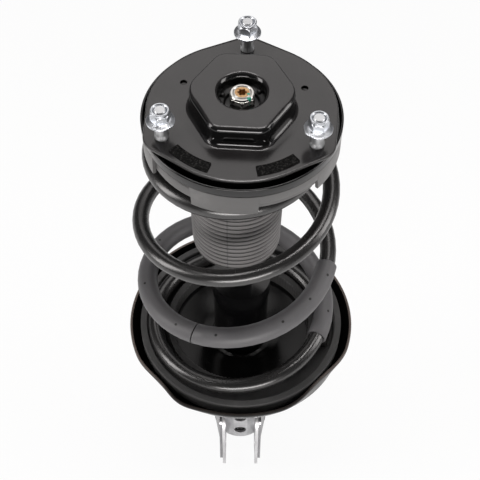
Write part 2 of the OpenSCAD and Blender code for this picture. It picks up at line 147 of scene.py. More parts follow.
class Finish:
    # one material: its shader, and one way to add any node to it
    def __init__(self, name, **constants):
        self.material = bpy.data.materials.new(name)
        self.material.use_nodes = True
        self.tree = self.material.node_tree
        self.tree.nodes.clear()
        output = self.tree.nodes.new("ShaderNodeOutputMaterial")
        self.skin = self.tree.nodes.new("ShaderNodeBsdfPrincipled")
        self.tree.links.new(self.skin.outputs[0], output.inputs["Surface"])
        for socket, value in constants.items():
            self.skin.inputs[socket.replace("_", " ")].default_value = value

    def node(self, kind, settings=None, inputs=None, out=0):
        made = self.tree.nodes.new(kind)
        for key, value in (settings or {}).items():
            if key == "stops":
                ramp = made.color_ramp
                while len(ramp.elements) < len(value):
                    ramp.elements.new(0.5)
                for element, (place, colour) in zip(ramp.elements, value):
                    element.position = place
                    element.color = (*colour, 1)
            else:
                setattr(made, key, value)
        for key, value in (inputs or {}).items():
            self.feed(made.inputs[key], value)
        return Wire(self, made.outputs[out])

    def feed(self, socket, value):
        if isinstance(value, Wire):
            self.tree.links.new(value.socket, socket)
        else:
            socket.default_value = value

    def place(self):
        return self.node("ShaderNodeTexCoord", out="Object")

    def axis(self, which):
        return self.node("ShaderNodeSeparateXYZ", None, {0: self.place()}, which)

    def noise(self, scale, detail=4, rough=0.6, where=None, stretch=None):
        spot = where or self.place()
        if stretch:
            spot = self.node("ShaderNodeMapping", None, {"Vector": spot, "Scale": stretch})
        return self.node("ShaderNodeTexNoise", None,
                         {"Vector": spot, "Scale": scale, "Detail": detail, "Roughness": rough}, "Fac")

    def step(self, value, low, high, start=0.0, end=1.0):
        # start below low, end above high, smooth between
        return self.node("ShaderNodeMapRange", {"interpolation_type": "SMOOTHSTEP"},
                         {"Value": value, "From Min": low, "From Max": high, "To Min": start, "To Max": end})

    def mix(self, mask, first, second):
        return self.node("ShaderNodeMix", {"data_type": "RGBA"},
                         {0: mask, 6: self.colour(first), 7: self.colour(second)}, 2)

    def colour(self, value):
        return value if isinstance(value, Wire) else (*value, 1)

    def paint(self, colour=None, roughness=None, metallic=None, height=None, strength=0.2, depth=0.0005):
        if colour is not None:
            self.feed(self.skin.inputs["Base Color"], self.colour(colour))
        if roughness is not None:
            self.feed(self.skin.inputs["Roughness"], roughness)
        if metallic is not None:
            self.feed(self.skin.inputs["Metallic"], metallic)
        if height is not None:
            bump = self.node("ShaderNodeBump", None,
                             {"Strength": strength, "Distance": depth, "Height": height})
            self.feed(self.skin.inputs["Normal"], bump)
        return self.material


def addStage():
    deselectAll()
    bpy.ops.mesh.primitive_plane_add(size=view["floorSize"], location=(0, 0, view["floorHeight"]))
    floor = bpy.context.object
    floor.name = "floor"
    bpy.ops.object.transform_apply(location=True)
    white = Finish("floorWhite", Roughness=0.9, Specular_IOR_Level=0.1)
    floor.data.materials.append(white.paint(colour=(0.8, 0.8, 0.8)))
    # seen directly the floor glows nearly white, and it lights the part only as a pale floor would
    glow = white.node("ShaderNodeEmission", None, {"Color": (1, 1, 1, 1), "Strength": 1.0})
    seen = white.node("ShaderNodeLightPath", out="Is Camera Ray")
    share = seen * view["floorGlowSeen"] + view["floorGlow"]
    both = white.node("ShaderNodeMixShader", None, {0: share, 1: Wire(white, white.skin.outputs[0]), 2: glow})
    output = next(n for n in white.tree.nodes if n.type == "OUTPUT_MATERIAL")
    white.feed(output.inputs["Surface"], both)
    world = bpy.data.worlds.new("studio")
    world.use_nodes = True
    tree = world.node_tree
    tree.nodes["Background"].inputs[0].default_value = (0.95, 0.97, 1, 1)
    tree.nodes["Background"].inputs[1].default_value = view["roomLight"]
    backdrop = tree.nodes.new("ShaderNodeBackground")
    path = tree.nodes.new("ShaderNodeLightPath")
    choice = tree.nodes.new("ShaderNodeMixShader")
    tree.links.new(path.outputs["Is Camera Ray"], choice.inputs[0])
    tree.links.new(tree.nodes["Background"].outputs[0], choice.inputs[1])
    tree.links.new(backdrop.outputs[0], choice.inputs[2])
    tree.links.new(choice.outputs[0], tree.nodes["World Output"].inputs["Surface"])
    backdrop.inputs[0].default_value = (1, 1, 1, 1)
    bpy.context.scene.world = world
    bpy.context.scene.view_settings.view_transform = "Standard"
    for name, place, target, size, power in lamps:
        addSoftbox(name, place, target, size, power)


addCamera()
addStage()
print("camera, floor and light placed")

# modelling helpers


def loopPiece(name, points):
    # a closed loop of vertices through the points, given in millimetres
    deselectAll()
    bpy.ops.mesh.primitive_circle_add(vertices=len(points), radius=1, fill_type="NOTHING")
    piece = bpy.context.object
    piece.name = name
    piece.data.name = name
    for vertex, point in zip(piece.data.vertices, points):
        vertex.co = Vector(point) * mm
    return piece


def closeShell(piece, threshold=1e-6):
    bpy.ops.mesh.select_all(action="SELECT")
    bpy.ops.mesh.remove_doubles(threshold=threshold)
    bpy.ops.mesh.fill_holes(sides=0)
    bpy.ops.mesh.normals_make_consistent(inside=False)
    bpy.ops.object.mode_set(mode="OBJECT")
    return piece


def turned(name, profile, steps=128, angle=360, start=0):
    # spins a closed profile of (radius, height) about the strut's axis
    turn = math.radians(start)
    piece = loopPiece(name, [(r * math.cos(turn), r * math.sin(turn), z) for r, z in profile])
    bpy.ops.object.mode_set(mode="EDIT")
    bpy.ops.mesh.select_all(action="SELECT")
    bpy.ops.mesh.spin(steps=steps, angle=-math.radians(angle), center=(0, 0, 0), axis=(0, 0, 1),
                      use_auto_merge=True)
    return closeShell(piece)


def lofted(name, rings, around=False):
    # extrudes a loop from ring to ring; around joins the last ring to the first
    rings = [np.asarray(ring, float) for ring in rings]
    piece = loopPiece(name, rings[0])
    bpy.ops.object.mode_set(mode="EDIT")
    bpy.ops.mesh.select_all(action="SELECT")
    for ring in rings[1:] + ([rings[0]] if around else []):
        bpy.ops.mesh.extrude_edges_move(TRANSFORM_OT_translate={"value": (0, 0, 0)})
        mesh = bmesh.from_edit_mesh(piece.data)
        mesh.verts.ensure_lookup_table()
        for vertex, point in zip(mesh.verts[-len(ring):], ring):
            vertex.co = Vector(point) * mm
    bmesh.update_edit_mesh(piece.data)
    return closeShell(piece)


def edged(piece, width=0.5, segments=2, angle=35):
    # rounds the sharp edges, in millimetres
    deselectAll()
    piece.select_set(True)
    bpy.context.view_layer.objects.active = piece
    bevel = piece.modifiers.new("edges", "BEVEL")
    bevel.width = width * mm
    bevel.segments = segments
    bevel.limit_method = "ANGLE"
    bevel.angle_limit = math.radians(angle)
    bevel.use_clamp_overlap = True
    bpy.ops.object.modifier_apply(modifier="edges")
    return piece


def smoothed(piece, angle=32):
    deselectAll()
    piece.select_set(True)
    bpy.context.view_layer.objects.active = piece
    bpy.ops.object.shade_smooth_by_angle(angle=math.radians(angle))
    return piece


def drilled(piece, drills):
    # cuts cylinders, each (centre, axis, radius, length) in millimetres
    for centre, axis, radius, length in drills:
        deselectAll()
        turn = Vector(axis).to_track_quat("Z", "Y").to_euler()
        bpy.ops.mesh.primitive_cylinder_add(vertices=40, radius=radius * mm, depth=length * mm,
                                            location=Vector(centre) * mm, rotation=turn)
        drill = bpy.context.object
        deselectAll()
        piece.select_set(True)
        bpy.context.view_layer.objects.active = piece
        cut = piece.modifiers.new("drill", "BOOLEAN")
        cut.operation = "DIFFERENCE"
        cut.solver = "EXACT"
        cut.object = drill
        bpy.ops.object.modifier_apply(modifier="drill")
        bpy.data.objects.remove(drill)
    return piece


def joined(name, pieces):
    deselectAll()
    for piece in pieces:
        piece.select_set(True)
    bpy.context.view_layer.objects.active = pieces[0]
    bpy.ops.object.join()
    whole = bpy.context.object
    whole.name = name
    whole.data.name = name
    return whole


def copied(name, node):
    # the CAD node's own shape as a welded mesh
    deselectAll()
    piece = bpy.data.objects.new(name, nodes[node].data.copy())
    piece.data.name = name
    bpy.context.scene.collection.objects.link(piece)
    for key in list(piece.keys()):
        del piece[key]
    piece.data.materials.clear()
    piece.select_set(True)
    bpy.context.view_layer.objects.active = piece
    bpy.ops.object.mode_set(mode="EDIT")
    bpy.ops.mesh.select_all(action="SELECT")
    bpy.ops.mesh.remove_doubles(threshold=2e-6)
    bpy.ops.mesh.dissolve_limited(angle_limit=math.radians(0.6))
    bpy.ops.object.mode_set(mode="OBJECT")
    return piece


def finished(piece, material, body, slot, *stoodFor):
    piece.data.materials.clear()
    piece.data.materials.append(material)
    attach(piece, body)
    if stoodFor:
        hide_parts(*stoodFor)
    return piece


def recoat(node, material):
    data = nodes[node].data
    data.materials.clear()
    data.materials.append(material)


def direction(angle):
    return np.array([math.cos(math.radians(angle)), math.sin(math.radians(angle))])


def arcPoints(centre, radius, first, last, count):
    # points of an arc in a profile plane
    turns = [math.radians(first + (last - first) * i / (count - 1)) for i in range(count)]
    return [(centre[0] + radius * math.cos(turn), centre[1] + radius * math.sin(turn)) for turn in turns]


def eased(t):
    u = min(max(t, 0), 1)
    return u * u * (3 - 2 * u)


def polarRadius(circles, angles):
    # radius, at each angle, of a tight band round circles of (centre, radius)
    normals = np.radians(np.arange(0, 360, 0.125))
    reach = np.max([centre[0] * np.cos(normals) + centre[1] * np.sin(normals) + radius
                    for centre, radius in circles], axis=0)
    radii = []
    for angle in np.radians(angles):
        facing = np.cos(normals - angle)
        radii.append(np.min(np.where(facing > 0.05, reach / np.maximum(facing, 0.05), 1e9)))
    return np.array(radii)


def polarRing(radii, height, angles):
    radii = np.broadcast_to(radii, angles.shape)
    height = np.broadcast_to(height, angles.shape)
    return np.stack([radii * np.cos(np.radians(angles)), radii * np.sin(np.radians(angles)), height], axis=1)


# finishes


def makePaint(name, colour, roughness, peel=0.1, dust=0.35, **constants):
    # black dip paint: orange peel, faint dust and handling scuffs
    finish = Finish(name, **constants)
    cloud = finish.noise(38, 5, 0.6)
    fine = finish.noise(900, 3, 0.6)
    scuff = finish.step(finish.noise(60, 6, 0.75, stretch=(1, 3, 1)), 0.6, 0.78)
    specks = finish.step(finish.noise(1500, 2, 0.5), 0.71, 0.76)
    tone = finish.mix(finish.step(cloud, 0.35, 0.7), colour, [1.35 * c for c in colour])
    tone = finish.mix((scuff * 0.25 + specks * 0.5) * dust, tone, (0.3, 0.29, 0.28))
    rough = roughness + (cloud - 0.5) * 0.14 + scuff * 0.1
    return finish.paint(tone, rough.atLeast(0.05), None, fine + cloud * 1.5, peel, 0.0002)


def makeRubber(name, colour, roughness, grain=0.3, sheen=0.0):
    finish = Finish(name, Sheen_Weight=sheen)
    cloud = finish.noise(55, 5, 0.62)
    fine = finish.noise(1300, 4, 0.7)
    bloom = finish.step(finish.noise(24, 5, 0.7), 0.45, 0.75)
    tone = finish.mix(bloom * 0.55, colour, [min(1, 1.9 * c + 0.01) for c in colour])
    tone = finish.mix(finish.step(fine, 0.62, 0.78) * 0.35, tone, [2.6 * c for c in colour])
    return finish.paint(tone, (roughness + (cloud - 0.5) * 0.2).atMost(1), None, fine + cloud, grain, 0.0003)


def makeFoam(name):
    # open-celled foam tape: coarse dark pores between paler grains
    finish = Finish(name, Specular_IOR_Level=0.15)
    cells = finish.node("ShaderNodeTexVoronoi", {"feature": "F1"}, {"Vector": finish.place(), "Scale": 950},
                        "Distance")
    grain = finish.noise(700, 5, 0.75)
    tone = finish.mix(finish.step(grain, 0.5, 0.66), (0.001, 0.001, 0.001), (0.06, 0.058, 0.056))
    return finish.paint(tone, 0.9, None, grain * 2 - cells, 1, 0.0012)


def makeZinc(name, colour, roughness):
    # bright zinc plate: bluish, with soft spangle, turning marks and dull spots
    finish = Finish(name, Metallic=1.0)
    spangle = finish.noise(260, 3, 0.5)
    marks = finish.noise(500, 2, 0.5, stretch=(0.2, 0.2, 6))
    dull = finish.step(finish.noise(120, 5, 0.7), 0.55, 0.75)
    tone = finish.mix(spangle, colour, [min(1, 1.25 * c) for c in colour])
    tone = finish.mix(dull * 0.5, tone, (0.5, 0.51, 0.53))
    return finish.paint(tone, roughness + dull * 0.2 + (marks - 0.5) * 0.15, None, marks + spangle * 0.5,
                        0.04, 0.0001)


def makeSteel(name, colour, roughness, stretch=(1, 1, 12)):
    finish = Finish(name, Metallic=1.0)
    brush = finish.noise(700, 3, 0.6, stretch=stretch)
    stain = finish.step(finish.noise(70, 5, 0.7), 0.5, 0.72)
    tone = finish.mix(stain * 0.5, colour, [0.62 * c for c in colour])
    return finish.paint(tone, roughness + stain * 0.15 + (brush - 0.5) * 0.12, None, brush, 0.1, 0.0002)


finishes = {
    "plate": makePaint("plateSatin", (0.032, 0.0305, 0.031), 0.36, 0.12),
    "gloss": makePaint("blackGloss", (0.0018, 0.0018, 0.002), 0.16, 0.05, 0.06),
    # the clevis wrap and liner are one black-painted bracket; their pale metal tones are painted reflection
    # of the white floor, the liner painted brighter and the wrap painted darker
    "wrap": makePaint("wrapMetalPaintedShade", (0.3, 0.3, 0.31), 0.24, 0.06, 0.12, Metallic=0.9),
    "liner": makePaint("linerMetalPaintedLight", (0.62, 0.62, 0.63), 0.33, 0.06, 0.1, Metallic=0.85),
    "bracketPaint": makePaint("bracketBlack", (0.012, 0.012, 0.013), 0.24, 0.1),
    "washer": makePaint("washerBlack", (0.02, 0.02, 0.02), 0.3, 0.1),
    "rubber": makeRubber("mountRubber", (0.012, 0.012, 0.012), 0.4, 0.2),
    "insulator": makeRubber("insulatorRubber", (0.08, 0.079, 0.078), 0.48, 0.2, 0.1),
    "seatRubber": makeRubber("seatRubber", (0.03, 0.03, 0.03), 0.62, 0.35, 0.1),
    "boot": makeRubber("bootRubber", (0.05, 0.048, 0.048), 0.5, 0.25, 0.1),
    "foam": makeFoam("padFoam"),
    "bumpFoam": makeRubber("bumpFoam", (0.5, 0.44, 0.22), 0.85, 0.6),
    "seal": makeRubber("sealRubber", (0.02, 0.02, 0.02), 0.5, 0.2),
    "zinc": makeZinc("brightZinc", (0.52, 0.54, 0.57), 0.34),
    "stud": makeZinc("studZinc", (0.5, 0.51, 0.52), 0.42),
    "steel": makeSteel("plainSteel", (0.5, 0.5, 0.51), 0.32),
    "bearing": makeSteel("bearingSteel", (0.68, 0.68, 0.7), 0.15),
    "iron": makeSteel("sinteredIron", (0.26, 0.26, 0.27), 0.5, (1, 1, 1)),
    "brass": makeSteel("bushBrass", (0.6, 0.43, 0.2), 0.3),
    "cage": makeRubber("cagePlastic", (0.5, 0.46, 0.32), 0.45, 0.1),
    "band": makeRubber("bandPlastic", (0.16, 0.11, 0.07), 0.45, 0.1),
}
print("finishes made:", len(finishes))

# mount plate with its dome

plate = {
    "radius": 74.5, "thickness": 3.2, "turn": -3.5, "studCircle": 67.6, "cornerRadius": 14.5,
    "domeHeight": 19, "flatFront": 41, "flatSide": 38.4, "cornerRound": 12, "sideRound": 24,
    "holeRadius": 17.25, "lipRadius": 21.8, "lipFoot": 12.4, "panelHalf": 19, "panelDepth": 1.1,
    "panelSoft": 1.6, "lowerPanel": 0.62,
    "edgeRear": 1.7, "edgeFront": 4.6, "edgeTurn": (62, 40),
    "scallops": 6, "scallopDepth": 0.7,
    "locatingHole": (53.9, 62.3, 2.9),  # distance from the axis, degrees from the rear stud, radius
    "points": 360,
}


def makePlatePaint():
    # satin dip paint on the flange and the dome's top, glossier on the drawn walls, which painted shade
    # darkens
    finish = Finish("plateSatin", Specular_IOR_Level=0.62)
    height = finish.axis("Z")
    # mask of the dome's walls and the hole's lip, about 2 to 18 mm up, which get painted shade
    wall = finish.step(height, 0.0004, 0.0022) * finish.step(height, 0.0172, 0.0186, 1, 0)
    cloud = finish.noise(38, 5, 0.6)
    fine = finish.noise(900, 3, 0.6)
    scuff = finish.step(finish.noise(60, 6, 0.75, stretch=(1, 3, 1)), 0.6, 0.78)
    specks = finish.step(finish.noise(1500, 2, 0.5), 0.71, 0.76)
    tone = finish.mix(finish.step(cloud, 0.35, 0.7), (0.013, 0.0122, 0.0124), (0.019, 0.018, 0.0182))
    tone = finish.mix((scuff * 0.2 + specks * 0.5) * 0.3, tone, (0.3, 0.29, 0.28))
    # painted shade: the walls and the lip darkened to near black
    tone = finish.mix(wall, tone, (0.004, 0.004, 0.004))
    rough = 0.2 + (cloud - 0.5) * 0.08 + scuff * 0.1 - wall * 0.08
    return finish.paint(tone, rough.atLeast(0.05), None, fine * 0.5 + cloud * 2, 0.07, 0.0002)


def domeCircles(grow):
    distance = [plate["flatFront"] if i % 3 == 0 else plate["flatSide"] for i in range(6)]
    circles = []
    for i in range(6):
        radius = (plate["sideRound"] if i % 3 == 1 else plate["cornerRound"]) + grow
        a = math.radians(90 + 60 * i + plate["turn"])
        p, q = distance[i] + grow - radius, distance[(i + 1) % 6] + grow - radius
        s = math.sin(math.radians(60))
        b = a + math.radians(60)
        centre = ((p * math.sin(b) - q * math.sin(a)) / s, (q * math.cos(a) - p * math.cos(b)) / s)
        circles.append((centre, radius))
    return circles


def buildPlate():
    angles = np.arange(plate["points"]) * 360 / plate["points"]
    corners = [plate["studCircle"] * direction(a + plate["turn"]) for a in (90, 210, 330)]
    corners = [(corner, plate["cornerRadius"]) for corner in corners]
    rim = polarRadius([((0, 0), plate["radius"])] + corners, angles)
    dome = {g: polarRadius(domeCircles(g), angles) for g in (0, 0.8, 2, 3.4, -1, -3)}
    front = (angles - 270 - plate["turn"]) % 360
    front = np.minimum(front, 360 - front)
    across = plate["flatFront"] * np.tan(np.radians(np.minimum(front, 80)))
    panel, half = (
        plate["panelDepth"] * np.array([1 - eased((d - width) / plate["panelSoft"]) for d in across])
        for width in (plate["panelHalf"], plate["panelHalf"] * plate["lowerPanel"]))
    turnStart, turnWidth = plate["edgeTurn"]
    facing = np.array([1 - eased((f - turnStart) / turnWidth) for f in front])
    edge = plate["edgeRear"] + (plate["edgeFront"] - plate["edgeRear"]) * facing
    t, h, hole = plate["thickness"], plate["domeHeight"], plate["holeRadius"]
    lip, lipFoot = plate["lipRadius"], plate["lipFoot"]
    scallop = plate["scallopDepth"] * np.cos(np.radians(plate["scallops"] * (angles - plate["turn"])))
    rings = [(hole, lipFoot - 1.4 + scallop), (hole, lipFoot)]
    rings += [(lip - (lip - hole) * math.cos(math.radians(a)),
               lipFoot + (h - lipFoot) * math.sin(math.radians(a)))
              for a in (12, 24, 36, 48, 60, 72, 82, 90)]
    rings += [(lip + 2, h), (dome[0] - edge - 2, h)]
    rings += [(dome[0] - edge + edge * math.sin(math.radians(a)), h - edge + edge * math.cos(math.radians(a)))
              for a in (0, 15, 30, 45, 60, 75, 90)]
    for height, depth in ((13.6, 0), (12.9, 1), (10.6, 1), (9.9, 1), (9.2, 2), (6.4, 2), (5.7, 0)):
        inset = 0 if depth == 0 else panel if depth == 1 else panel + half
        rings.append((dome[0] - inset, height))
    rings += [(dome[0], 3.6), (dome[0] + 0.25, 2.6), (dome[0.8], 1.5), (dome[2], 0.45), (dome[3.4], 0.02)]
    rings += [(dome[3.4] + (rim - 0.8 - dome[3.4]) * k, 0) for k in (0.12, 0.5, 0.9)]
    rings += [(rim - 0.8, 0), (rim - 0.3, -0.2), (rim, -0.7)]
    rings += [(rim, -t + 0.7), (rim - 0.3, -t + 0.2), (rim - 0.8, -t)]
    rings += [(dome[2], -t), (dome[-1], -t + 0.5), (dome[-3], 0), (dome[-3], h - 7)]
    rings += [(dome[-3] - 2, h - 4), (dome[-3] - 4, h - 3.1), (lip + 2.5, h - 3.1), (hole + 6, h - 4.8)]
    rings += [(hole + 3.4, h - 6.4), (hole + 2.4, lipFoot - 0.6), (hole + 2.1, lipFoot - 1.4 + scallop)]
    piece = lofted("mountPlate", [polarRing(r, z, angles) for r, z in rings], around=True)
    spot = plate["locatingHole"]
    places = [spot[0] * direction(90 + plate["turn"] + side * spot[1]) for side in (-1, 1)]
    drilled(piece, [((p[0], p[1], -1.6), (0, 0, 1), spot[2], 12) for p in places])
    return smoothed(piece, 34)


mountPlate = buildPlate()
finished(mountPlate, makePlatePaint(), "mount", "plate_paint", "mount_plate")
print("mount plate:", len(mountPlate.data.polygons), "faces")

# studs and nuts

stud = {
    "circle": 67.6, "angles": (86.5, 206.5, 326.5), "collar": 5.6, "shank": 5.1, "thread": 4.6, "top": 28.6,
    "splines": 30, "splineDepth": 0.3, "pitch": 1.25,
}
nut = {"foot": 16.2, "acrossFlats": 14, "top": 28.6, "bore": 4.7, "points": 120, "turns": (12, -14, 22)}


def buildStud(angle):
    angles = np.arange(stud["splines"] * 4) * 360 / (stud["splines"] * 4)
    teeth = np.where((np.arange(len(angles)) % 4) < 2, 0.0, stud["splineDepth"])
    shank, thread, top = stud["shank"], stud["thread"], stud["top"]
    collar = stud["collar"]
    rings = [(0.6, -5.2), (6.8, -5.2), (7.4, -4.9), (7.5, -4.4), (7.4, -3.5), (7.0, -3.2),
             (collar - 0.1, -3.1)]
    rings += [(collar - teeth, -3.0), (collar - teeth, 3.6), (collar - 0.4 - teeth * 0.4, 4.3)]
    rings += [(shank + 0.1, 4.9), (shank, 5.4), (shank, 15.4)]
    height = 16.2
    while height < top - 1.6:
        rings += [(shank - 0.05, height), (shank - 0.05, height + 0.18)]
        rings += [(thread - 0.25, height + 0.62), (thread - 0.25, height + 0.8)]
        height += stud["pitch"]
    rings += [(thread, top - 1.4), (thread, top - 0.9), (thread - 0.8, top), (0.5, top)]
    piece = lofted("stud", [polarRing(r, z, angles) for r, z in rings])
    centre = stud["circle"] * direction(angle)
    piece.data.transform(Matrix.Translation((centre[0] * mm, centre[1] * mm, 0)))
    return smoothed(piece, 38)


def buildNut(centre, foot, acrossFlats, turn, profile, bore, top, name, chamfer=(1.2, 1.5)):
    # a hexagon whose corners are rounded off by a cone, on a flange, with a bore through it
    angles = np.arange(nut["points"]) * 360 / nut["points"]
    within = (angles - turn + 30) % 60 - 30
    hexagon = acrossFlats / 2 / np.cos(np.radians(within))
    outline = [(np.minimum(hexagon, r) if cut else r, z) for r, z, cut in profile]
    rings = [(bore, foot)] + outline + [(bore + chamfer[0], top), (bore, top - chamfer[1])]
    piece = lofted(name, [polarRing(r, z, angles) for r, z in rings], around=True)
    piece.data.transform(Matrix.Translation((centre[0] * mm, centre[1] * mm, 0)))
    return smoothed(piece, 30)


# radius, height, and 1 where the hexagon may cut in
flangeProfile = [
    (10.6, 16.2, 0), (10.95, 16.5, 0), (11, 17.2, 0), (10.8, 17.6, 0), (9.6, 18.2, 0), (8.6, 18.9, 0),
    (8.12, 19.4, 1), (8.12, 24.0, 1), (7.9, 24.7, 1), (7.5, 25.4, 1), (7.0, 25.9, 0), (6.9, 26.1, 0),
    (7.3, 26.4, 0), (7.35, 27.6, 0), (7.15, 28.2, 0), (6.6, 28.6, 0)]
studs = joined("towerStuds", [buildStud(a) for a in stud["angles"]])
finished(studs, finishes["stud"], "mount", "steel", "tower_studs")
nuts = joined("towerNuts", [
    buildNut(stud["circle"] * direction(a), nut["foot"], nut["acrossFlats"], turn, flangeProfile,
             nut["bore"], nut["top"], "nut")
    for a, turn in zip(stud["angles"], nut["turns"])])
finished(nuts, finishes["zinc"], "mount", "zinc", "tower_nuts")
print("studs and nuts made")

# rod end, nut and rubber in the dome's hole

rodEnd = {
    "nutFlats": 19, "nutFoot": 4, "top": 16.6, "bore": 7.05,
    "paintSpots": ((4.65, -1.8, 1.2), (5.2, -6.2, 1.7)),  # x, y and radius of each dab
}


def paintDabs(finish):
    x, y, z = finish.axis("X"), finish.axis("Y"), finish.axis("Z")
    blotch = (finish.noise(330, 4, 0.6) - 0.5) * 0.0015
    spots = None
    for sx, sy, size in rodEnd["paintSpots"]:
        far = ((x - sx * mm) ** 2 + (y - sy * mm) ** 2) ** 0.5 + blotch
        spot = finish.step(far, size * mm * 0.85, size * mm * 1.1, 1, 0)
        spots = spot if spots is None else spots.atLeast(spot)
    return spots * finish.step(z, 0.010, 0.011)


def makeRodSteel():
    # rusty brown end with dabs of marking paint, hard chrome below
    finish = Finish("rodSteel", Metallic=1.0)
    height = finish.axis("Z")
    top = finish.step(height, -0.002, 0.001)
    rust = finish.step(finish.noise(420, 5, 0.7), 0.35, 0.7)
    brown = finish.mix(rust, (0.36, 0.19, 0.08), (0.6, 0.4, 0.2))
    dabs = paintDabs(finish)
    x, y = finish.axis("X"), finish.axis("Y")
    middle = finish.step((x ** 2 + y ** 2) ** 0.5, 0.0054, 0.006, 1, 0)
    brown = finish.mix(middle, (0.55, 0.54, 0.51), brown)
    tone = finish.mix(top, (0.7, 0.7, 0.72), brown)
    tone = finish.mix(dabs, tone, (0.01, 0.3, 0.2))
    brush = finish.noise(600, 3, 0.6, stretch=(1, 1, 14))
    return finish.paint(tone, 0.08 + top * 0.3 + brush * 0.06, (1 - top * 0.35) * (1 - dabs),
                        brush + rust * top, 0.1, 0.0002)


def makeNutSteel():
    finish = Finish("rodNutZinc", Metallic=1.0)
    spangle = finish.noise(260, 3, 0.5)
    spots = paintDabs(finish)
    tone = finish.mix(spangle, (0.5, 0.49, 0.47), (0.62, 0.61, 0.58))
    tone = finish.mix(spots, tone, (0.01, 0.3, 0.2))
    return finish.paint(tone, 0.24 + spots * 0.25, 1 - spots, spangle + spots, 0.12, 0.0003)


rodNutProfile = [
    (8.8, 4, 0), (10.3, 4.2, 1), (10.97, 5.0, 1), (10.97, 13.4, 1), (10.4, 14.3, 1), (9.5, 14.9, 0),
    (9.25, 15.0, 0), (9.25, 16.1, 0), (8.8, 16.6, 0)]
rodNut = buildNut((0, 0), rodEnd["nutFoot"], rodEnd["nutFlats"], 0, rodNutProfile,
                  rodEnd["bore"], rodEnd["top"], "rodNut", (0.4, 0.4))
finished(rodNut, makeNutSteel(), "mount", "zinc", "rod_nut")
recoat("piston_rod", makeRodSteel())

mountRubber = {"knobs": 6, "knobCircle": 16.6, "knobTurn": 37, "knobRadius": 2.3, "knobHeight": 7.4}
rubberProfile = [
    (24.4, -3.2), (33.5, -3.2), (33.6, 4), (33, 7.2), (31.6, 9), (28, 10.2), (23, 10.0), (20.2, 8.6),
    (18.4, 7.4), (15.6, 6.9), (14.2, 6.2), (14, 4), (14, -1.5), (24.4, -1.5)]


def buildMountRubber():
    block = turned("mountRubber", rubberProfile, 96)
    m = mountRubber
    knobs = []
    for i in range(m["knobs"]):
        deselectAll()
        spot = m["knobCircle"] * direction(m["knobTurn"] + 360 / m["knobs"] * i)
        place = (spot[0] * mm, spot[1] * mm, m["knobHeight"] * mm)
        bpy.ops.mesh.primitive_uv_sphere_add(segments=20, ring_count=12, radius=m["knobRadius"] * mm,
                                             location=place)
        bpy.ops.object.transform_apply(location=True)
        knobs.append(bpy.context.object)
    return smoothed(joined("mountRubber", [block] + knobs), 50)


finished(buildMountRubber(), finishes["rubber"], "mount", "rubber", "mount_rubber")
print("rod end, nut and rubber made")

# foam pads on the plate

# piece, node, first and last angle, inner and outer radius
pads = (
    ("leftPad", "left_foam_pad", -140.5, -111.3, 62, 70.8),
    ("rightPad", "right_foam_pad", -80.5, -52, 61.5, 70),
)
for name, node, first, last, inner, outer in pads:
    profile = [(inner, 0.02), (outer, 0.02), (outer, 1.5)]
    profile += [(outer - 0.5, 1.75), (inner + 0.5, 1.75), (inner, 1.5)]
    pad = edged(turned(name, profile, 36, last - first, first), 0.3, 2, 50)
    finished(smoothed(pad, 40), finishes["foam"], "mount", "foam", node)
print("foam pads laid:", len(pads))

# upper spring seat and its rubber

seat = {
    "bore": 14, "floor": -20.5, "thickness": 2.5, "wall": 75.5, "brim": 79, "brimHeight": -14, "rim": -5.5,
}


def buildUpperSeat():
    s = seat
    t, floor, brimHeight, wall, brim = s["thickness"], s["floor"], s["brimHeight"], s["wall"], s["brim"]
    profile = [(s["bore"], floor), (72.4, floor)] + arcPoints((wall - 3, floor + 3), 3, -80, 0, 5)
    profile += [(wall, brimHeight - 0.8), (wall + 0.8, brimHeight)]
    profile += arcPoints((brim - 1.6, brimHeight + 1.6), 1.6, -90, 0, 5)
    profile += [(brim, s["rim"] - 0.8)] + arcPoints((brim - 1.1, s["rim"] - 1.1), 1.1, 0, 180, 9)
    profile += [(brim - 2.2, brimHeight + 4), (brim - 3, brimHeight + t), (wall - 1.7, brimHeight + t)]
    profile += [(wall - t, brimHeight + 1.7), (wall - t, floor + 4)]
    profile += [(wall - 4, floor + t), (s["bore"], floor + t)]
    return smoothed(turned("upperSpringSeat", profile, 180), 40)


finished(buildUpperSeat(), finishes["gloss"], "swivel", "black_paint", "upper_spring_seat")

skirt = {
    "foot": -34, "outer": 78.6, "inner": 75.7, "top": -14.1,
    "notches": ((-81, -42, -23), (-151, -119, -15.4), (40, 100, -23), (138, 168, -23)),  # first, last, top
    "bed": (56, 75.4, -30.4, -20.6),  # inner and outer radius, foot and top
}


def buildSkirt():
    angles = np.arange(720) * 0.5
    foot = np.full(len(angles), float(skirt["foot"]))
    for first, last, notchTop in skirt["notches"]:
        past = (angles - first) % 360
        width = last - first
        cut = np.array([eased(min(p, width - p) / 0.8) if p < width else 0 for p in past])
        foot = np.maximum(foot, skirt["foot"] + (notchTop - skirt["foot"]) * cut)
    o, i, top = skirt["outer"], skirt["inner"], skirt["top"]
    low = np.minimum(foot, top - 1.2)
    rings = [(o - 0.5, top), (o, top - 0.3), (o, low + 0.8), (o - 0.35, low + 0.2), (o - 0.9, low),
             (i + 0.8, low), (i + 0.2, low + 0.3), (i, low + 0.9), (i, top)]
    outside = lofted("skirt", [polarRing(r, z, angles) for r, z in rings], around=True)
    inner, outer, bedFoot, bedTop = skirt["bed"]
    bed = turned("bed", [(inner, bedFoot), (outer, bedFoot), (outer, bedTop), (inner, bedTop)], 144)
    return smoothed(joined("upperInsulator", [outside, edged(bed, 0.8, 3)]), 40)


finished(buildSkirt(), finishes["insulator"], "swivel", "insulator_rubber", "upper_insulator")
print("upper seat made")

# dust boot

boot = {
    "offset": -4.3, "radius": (41.8, 38.6), "depth": 2.0, "top": -26, "foot": -158, "folds": 24,
    "pointsPerFold": 8, "wall": 1.6, "seamLeft": 11.8,
}


